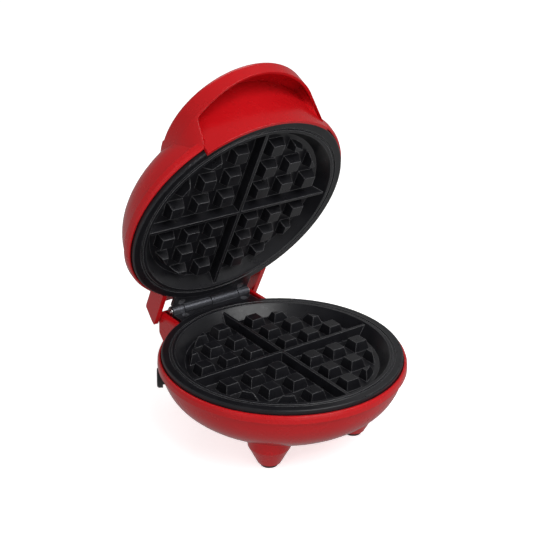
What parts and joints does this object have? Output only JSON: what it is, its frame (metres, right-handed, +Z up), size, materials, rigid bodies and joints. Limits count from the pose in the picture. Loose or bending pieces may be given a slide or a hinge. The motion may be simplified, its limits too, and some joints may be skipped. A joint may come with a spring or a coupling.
{
  "type": "waffle maker",
  "caption": "Round electric waffle maker with a bowl-shaped base on legs, two studded non-stick grid plates, and a domed lid that opens on a rear hinge and is lifted by a lipped front handle.",
  "frame": {"origin": "on the table, under the middle of the appliance's box with the lid at rest, open 64 degrees; the plates' axis stands 16.1 mm in front of it", "axes": "+X along the hinge pin, to the right seen from the front; -Y towards the handle side, +Y towards the hinge; +Z up, away from the feet"},
  "size_m": [0.2068, 0.2392, 0.3036],
  "materials": {
    "red_plastic": "glossy moulded red",
    "grip_plastic": "glossy moulded red",
    "nonstick": "cast aluminium with a dark non-stick coat",
    "rubber": "matt",
    "black_plastic": "satin black",
    "steel": "zinc plated",
    "element_steel": "heat-dulled tube",
    "reflector_aluminium": "mill finish",
    "ceramic": "unglazed",
    "fuse_metal": "plain",
    "wire_sleeve": "woven glass sleeve",
    "board": "plain",
    "lamp_glass": "clear",
    "red_lens": "translucent",
    "green_lens": "translucent"
  },
  "bodies": {
    "base": {"base_shell": "red_plastic", "foot_pads": "rubber", "cord_gland": "black_plastic", "lower_plate": "nonstick", "hinge_pin": "steel", "pin_clips": "steel", "lower_heating_element": "element_steel", "lower_reflector": "reflector_aluminium", "lower_reflector_screws": "steel", "lower_leaf_screws": "steel", "base_screws": "steel", "thermostat": "ceramic", "lower_thermal_fuse": "fuse_metal", "terminal_block": "ceramic", "lower_wiring": "wire_sleeve"},
    "lid": {"lid_shell": "red_plastic", "handle_grip": "grip_plastic", "upper_plate": "nonstick", "upper_heating_element": "element_steel", "upper_reflector": "reflector_aluminium", "upper_reflector_screws": "steel", "upper_leaf_screws": "steel", "upper_thermal_fuse": "fuse_metal", "lamp_board": "board", "neon_lamps": "lamp_glass", "power_lens": "red_lens", "ready_lens": "green_lens", "upper_wiring": "wire_sleeve"}
  },
  "joints": [
    {"name": "lid_hinge", "type": "hinge", "parent": "base", "child": "lid", "pos_m": [0, 0.0939, 0.0725], "axis": [-1, 0, 0], "range_deg": [-64, 36]}
  ]
}
